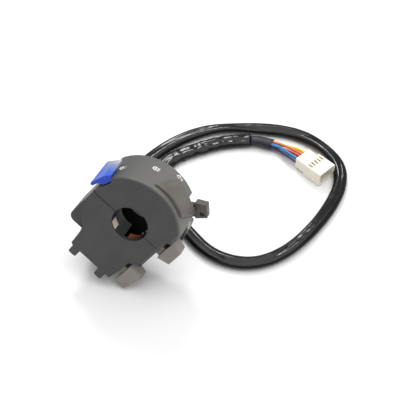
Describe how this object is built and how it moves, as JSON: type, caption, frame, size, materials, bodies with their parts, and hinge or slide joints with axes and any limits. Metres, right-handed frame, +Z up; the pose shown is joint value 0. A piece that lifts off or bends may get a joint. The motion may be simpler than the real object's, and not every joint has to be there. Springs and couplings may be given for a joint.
{
  "type": "handlebar switch cluster",
  "caption": "Left-hand handlebar switch cluster with beam lever, turn slider, side lever, two push buttons and a harness that ends in a white plug.",
  "frame": {"origin": "on the axis of the handlebar bore, at the middle of the housing's width", "axes": "+Z up from the table the cluster lies on; the bore's axis lies in the YZ plane and its open end points towards -Y, 16 degrees up"},
  "size_m": [0.144, 0.1644, 0.0782],
  "materials": {
    "housing_plastic": "dark grey moulded plastic, satin grain",
    "switch_plastic": "taupe grey moulded plastic",
    "lever_plastic": "dark brown grey moulded plastic",
    "inner_plastic": "dark inner moulding",
    "blue_plastic": "blue translucent moulded plastic",
    "natural_nylon": "cream natural nylon",
    "contact_board": "laminated contact board",
    "screw_steel": "zinc plated steel",
    "spring_steel": "spring steel wire",
    "retainer_steel": "zinc plated sheet",
    "contact_copper": "copper alloy strip",
    "terminal_brass": "tinned brass",
    "grommet_rubber": "black rubber",
    "sleeve_vinyl": "glossy black vinyl sleeve",
    "tape_cloth": "matt black vinyl tape",
    "wire_navy": "dark blue wire insulation",
    "wire_blue": "light blue wire insulation",
    "wire_red": "red wire insulation",
    "wire_orange": "orange wire insulation",
    "wire_yellow": "yellow wire insulation"
  },
  "bodies": {
    "housing": {"upper_shell": "housing_plastic", "lower_shell": "housing_plastic", "clamp_screw_1": "screw_steel", "clamp_screw_2": "screw_steel", "bar_pad": "natural_nylon", "contact_strip": "contact_copper", "beam_pivot_pin": "screw_steel", "beam_contact_block": "inner_plastic", "beam_contacts": "contact_copper", "beam_lever_spring": "spring_steel", "lever_retainer": "retainer_steel", "retainer_screws": "screw_steel", "turn_board": "contact_board", "turn_contacts": "contact_copper", "horn_contact_base": "inner_plastic", "horn_contacts": "contact_copper", "horn_spring": "spring_steel", "start_contact_base": "inner_plastic", "start_contacts": "contact_copper", "start_spring": "spring_steel", "harness_grommet": "grommet_rubber", "harness_sleeve": "sleeve_vinyl", "harness_tape": "tape_cloth", "wire_navy": "wire_navy", "wire_blue": "wire_blue", "wire_red": "wire_red", "wire_orange": "wire_orange", "wire_yellow": "wire_yellow", "plug_housing": "natural_nylon", "plug_terminals": "terminal_brass"},
    "turn": {"turn_paddle": "switch_plastic", "turn_carriage": "inner_plastic", "turn_detent_ball": "screw_steel", "turn_detent_spring": "spring_steel", "turn_wiper": "contact_copper"},
    "beam": {"beam_lever": "blue_plastic"},
    "side": {"side_lever": "lever_plastic"},
    "horn": {"horn_button": "switch_plastic", "horn_bridge": "contact_copper"},
    "start": {"start_button": "switch_plastic", "start_bridge": "contact_copper"}
  },
  "joints": [
    {"name": "turn_slide_round", "type": "hinge", "parent": "housing", "child": "turn", "pos_m": [0, 0, 0], "axis": [0, -0.9613, 0.2756], "range_deg": [-6, 6]},
    {"name": "side_lever_turn", "type": "hinge", "parent": "housing", "child": "side", "pos_m": [0, 0, 0], "axis": [0, -0.9613, 0.2756], "range_deg": [-8, 8]},
    {"name": "beam_lever_press", "type": "hinge", "parent": "housing", "child": "beam", "pos_m": [-0.00924, 0.00636, 0.02218], "axis": [0, -0.9613, 0.2756], "range_deg": [0, 6], "stiffness_Nm_per_rad": 0.3, "springref_deg": -5.73},
    {"name": "horn_press", "type": "slide", "parent": "housing", "child": "horn", "axis": [-0.8192, 0.1581, 0.5514], "range_m": [0, 0.0022], "stiffness_N_per_m": 350, "springref_m": -0.002, "deforming": ["horn_spring"]},
    {"name": "start_press", "type": "slide", "parent": "housing", "child": "start", "axis": [-0.8192, 0.1581, 0.5514], "range_m": [0, 0.0022], "stiffness_N_per_m": 350, "springref_m": -0.002, "deforming": ["start_spring"]}
  ]
}
